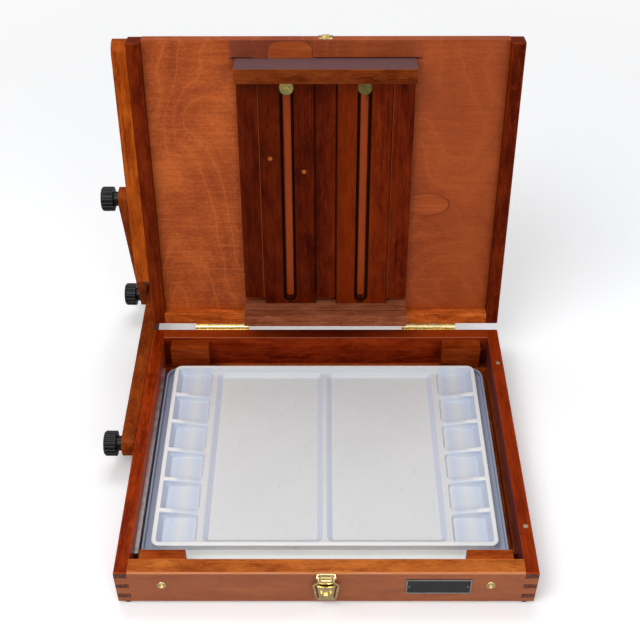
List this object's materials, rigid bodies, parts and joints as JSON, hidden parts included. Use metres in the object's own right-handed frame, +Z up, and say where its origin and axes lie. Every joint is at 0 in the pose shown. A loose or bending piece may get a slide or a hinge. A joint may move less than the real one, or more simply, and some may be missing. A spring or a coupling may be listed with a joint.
{
  "type": "pochade box",
  "caption": "Wooden pochade box: flat case with palette, hinged lid easel held by a folding side arm, and a sliding mast that clamps the canvas on a ledge.",
  "frame": {"origin": "centre of the mouth of the tripod socket, in the middle of the case's flat underside", "axes": "+X to the painter's right, +Y from the latch to the hinges, +Z up; the lid stands open"},
  "size_m": [0.4443, 0.4412, 0.3837],
  "materials": {
    "case_wood": "satin varnish, greyish red-brown",
    "lid_wood": "satin varnish, orange-brown",
    "ply_wood": "satin varnish, swirled birch-like veneer",
    "mast_wood": "satin varnish, mid brown",
    "slat_wood": "satin varnish, dark red-brown",
    "brass": "polished",
    "old_brass": "aged, brushed",
    "steel": "zinc plated",
    "strip_metal": "satin",
    "knob_plastic": "black, glossy",
    "palette_plastic": "white, semi-gloss",
    "cover_plastic": "pale blue-grey, semi-gloss",
    "plate_metal": "black face, bare bright border",
    "foot_rubber": "matte"
  },
  "bodies": {
    "case": {"case_front": "case_wood", "case_back": "case_wood", "case_left_side": "case_wood", "case_right_side": "case_wood", "case_floor": "case_wood", "front_corner_blocks": "case_wood", "back_corner_blocks": "case_wood", "cover_cleats": "case_wood", "guide_strip_left": "strip_metal", "guide_strip_right": "case_wood", "strip_screws": "brass", "rubber_feet": "foot_rubber", "cup_washers": "brass", "front_screws": "brass", "rim_pins": "brass", "blank_plate": "plate_metal", "plate_pins": "steel", "tripod_socket": "brass", "socket_screws": "brass", "case_hinge_leaves": "brass", "case_leaf_screws": "brass", "hinge_pins": "brass", "case_arm_bolt": "steel", "latch_base": "brass", "latch_pin": "brass", "latch_brads": "brass"},
    "lid": {"lid_left_stile": "lid_wood", "lid_right_stile": "lid_wood", "lid_bottom_rail": "lid_wood", "lid_panel": "ply_wood", "guide_slats": "slat_wood", "canvas_ledge": "lid_wood", "ledge_screws": "brass", "mast_bolts": "old_brass", "lid_side_rail": "lid_wood", "side_rail_screws": "brass", "lid_arm_bolt": "steel", "lid_hinge_leaves": "brass", "lid_leaf_screws": "brass", "strike_plate": "brass", "strike_brads": "brass"},
    "mast": {"mast_left_board": "mast_wood", "mast_right_board": "mast_wood", "mast_top_bar": "mast_wood"},
    "mast_nut_left": {"mast_nut_left": "knob_plastic"},
    "mast_nut_right": {"mast_nut_right": "knob_plastic"},
    "arm_upper": {"arm_upper": "mast_wood", "elbow_bolt": "steel"},
    "arm_lower": {"arm_lower": "mast_wood"},
    "knob_lid": {"knob_lid": "knob_plastic"},
    "knob_elbow": {"knob_elbow": "knob_plastic"},
    "knob_case": {"knob_case": "knob_plastic"},
    "latch_lever": {"latch_lever": "brass"},
    "latch_loop": {"latch_loop": "brass"},
    "palette_cover": {"palette_cover": "cover_plastic"},
    "palette_tray": {"palette_tray": "palette_plastic"}
  },
  "joints": [
    {"name": "lid_hinge", "type": "hinge", "parent": "case", "child": "lid", "pos_m": [0, 0.17165, 0.046], "axis": [-1, 0, 0], "range_deg": [-99.3, 0]},
    {"name": "arm_upper_pivot", "type": "hinge", "parent": "lid", "child": "arm_upper", "pos_m": [-0.2156, 0.21032, 0.2017], "axis": [-1, 0, 0], "range_deg": [0, 30.45]},
    {"name": "arm_lower_slide", "type": "slide", "parent": "case", "child": "arm_lower", "axis": [0, 1, 0], "range_m": [-0.06305, 0]},
    {"name": "knob_lid_turn", "type": "hinge", "parent": "lid", "child": "knob_lid", "pos_m": [-0.225, 0.21032, 0.2017], "axis": [-1, 0, 0], "continuous": true},
    {"name": "knob_elbow_turn", "type": "hinge", "parent": "arm_upper", "child": "knob_elbow", "pos_m": [-0.225, 0.24652, 0.0315], "axis": [-1, 0, 0], "continuous": true},
    {"name": "knob_case_turn", "type": "hinge", "parent": "case", "child": "knob_case", "pos_m": [-0.2149, 0.00575, 0.0315], "axis": [-1, 0, 0], "continuous": true},
    {"name": "mast_slide", "type": "slide", "parent": "lid", "child": "mast", "axis": [0, 0.1616, 0.9869], "range_m": [0, 0.2495]},
    {"name": "mast_nut_left_turn", "type": "hinge", "parent": "lid", "child": "mast_nut_left", "pos_m": [-0.0402, 0.24053, 0.33051], "axis": [0, 0.9869, -0.1616], "continuous": true},
    {"name": "mast_nut_right_turn", "type": "hinge", "parent": "lid", "child": "mast_nut_right", "pos_m": [0.0402, 0.24053, 0.33051], "axis": [0, 0.9869, -0.1616], "continuous": true},
    {"name": "latch_lever_turn", "type": "hinge", "parent": "case", "child": "latch_lever", "pos_m": [0, -0.16975, 0.0426], "axis": [-1, 0, 0], "range_deg": [0, 80]},
    {"name": "latch_loop_turn", "type": "hinge", "parent": "latch_lever", "child": "latch_loop", "pos_m": [0, -0.17215, 0.0408], "axis": [1, 0, 0], "range_deg": [-26, 70]},
    {"name": "palette_cover_lift", "type": "slide", "parent": "case", "child": "palette_cover", "axis": [0, 0, 1], "range_m": [0, 0.1]},
    {"name": "palette_tray_lift", "type": "slide", "parent": "palette_cover", "child": "palette_tray", "axis": [0, 0, 1], "range_m": [0, 0.1]}
  ],
  "couplings": [
    {"joint": "arm_upper_pivot", "follows": "lid_hinge", "ratio": -0.30615},
    {"joint": "arm_lower_slide", "follows": "lid_hinge", "m_per_rad": 0.036323}
  ]
}
